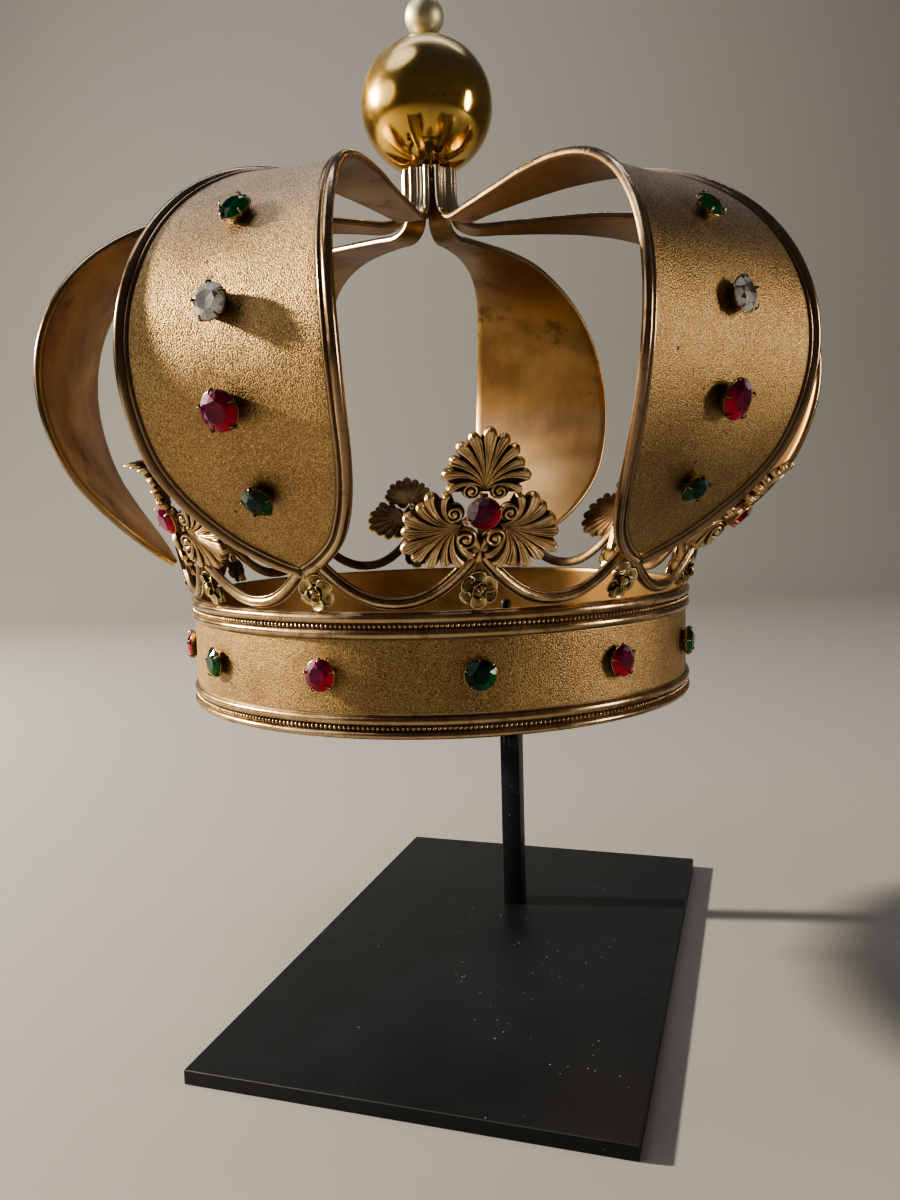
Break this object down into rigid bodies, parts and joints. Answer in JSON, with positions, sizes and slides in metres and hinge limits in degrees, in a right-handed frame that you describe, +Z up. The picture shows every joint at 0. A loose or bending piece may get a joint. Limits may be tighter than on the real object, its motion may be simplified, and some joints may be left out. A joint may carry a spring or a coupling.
{
  "type": "processional crown on a black stand",
  "caption": "Gilt sheet crown: moulded band with set stones, festoon gallery, cast palmette trefoils and leaf-shaped arches meeting under a polished orb, shown on a plain black post and plate.",
  "frame": {"origin": "on the table, at the plate's underside, under the crown's axis", "axes": "+Z up along the crown's axis; -Y towards the front trefoil, seen with the plate's long side running back to the left; +X to the viewer's right"},
  "size_m": [0.2869, 0.282, 0.3778],
  "materials": {
    "gilt": "gilt, stippled matte field with polished, slightly tarnished mouldings",
    "cast_brass": "satin with darker recesses",
    "dark_brass": "antique, dark in the recesses and rubbed bright on the ribs",
    "bright_brass": "mirror polished",
    "pale_brass": "polished, worn pale",
    "ruby": "faceted, polished",
    "emerald": "faceted, polished",
    "crystal": "faceted, polished",
    "black_paint": "satin black"
  },
  "bodies": {
    "root": {"arch_1": "gilt", "arch_2": "gilt", "arch_3": "gilt", "arch_4": "gilt", "arch_5": "gilt", "arch_6": "gilt", "arch_stone_1a": "emerald", "arch_stone_1b": "ruby", "arch_stone_1c": "crystal", "arch_stone_1d": "emerald", "arch_stone_2a": "emerald", "arch_stone_2b": "ruby", "arch_stone_2c": "crystal", "arch_stone_2d": "emerald", "arch_stone_3a": "emerald", "arch_stone_3b": "ruby", "arch_stone_3c": "crystal", "arch_stone_3d": "emerald", "arch_stone_4a": "emerald", "arch_stone_4b": "ruby", "arch_stone_4c": "crystal", "arch_stone_4d": "emerald", "arch_stone_5a": "emerald", "arch_stone_5b": "ruby", "arch_stone_5c": "crystal", "arch_stone_5d": "emerald", "arch_stone_6a": "emerald", "arch_stone_6b": "ruby", "arch_stone_6c": "crystal", "arch_stone_6d": "emerald", "band": "gilt", "band_stone_01": "emerald", "band_stone_02": "ruby", "band_stone_03": "emerald", "band_stone_04": "ruby", "band_stone_05": "emerald", "band_stone_06": "ruby", "band_stone_07": "emerald", "band_stone_08": "ruby", "band_stone_09": "emerald", "band_stone_10": "ruby", "band_stone_11": "emerald", "band_stone_12": "ruby", "gallery": "cast_brass", "orb": "bright_brass", "orb_ball": "pale_brass", "stand_plate": "black_paint", "stand_post": "black_paint", "trefoil_1": "dark_brass", "trefoil_2": "dark_brass", "trefoil_3": "dark_brass", "trefoil_4": "dark_brass", "trefoil_5": "dark_brass", "trefoil_6": "dark_brass", "trefoil_stone_1": "ruby", "trefoil_stone_2": "ruby", "trefoil_stone_3": "ruby", "trefoil_stone_4": "ruby", "trefoil_stone_5": "ruby", "trefoil_stone_6": "ruby"}
  },
  "joints": []
}
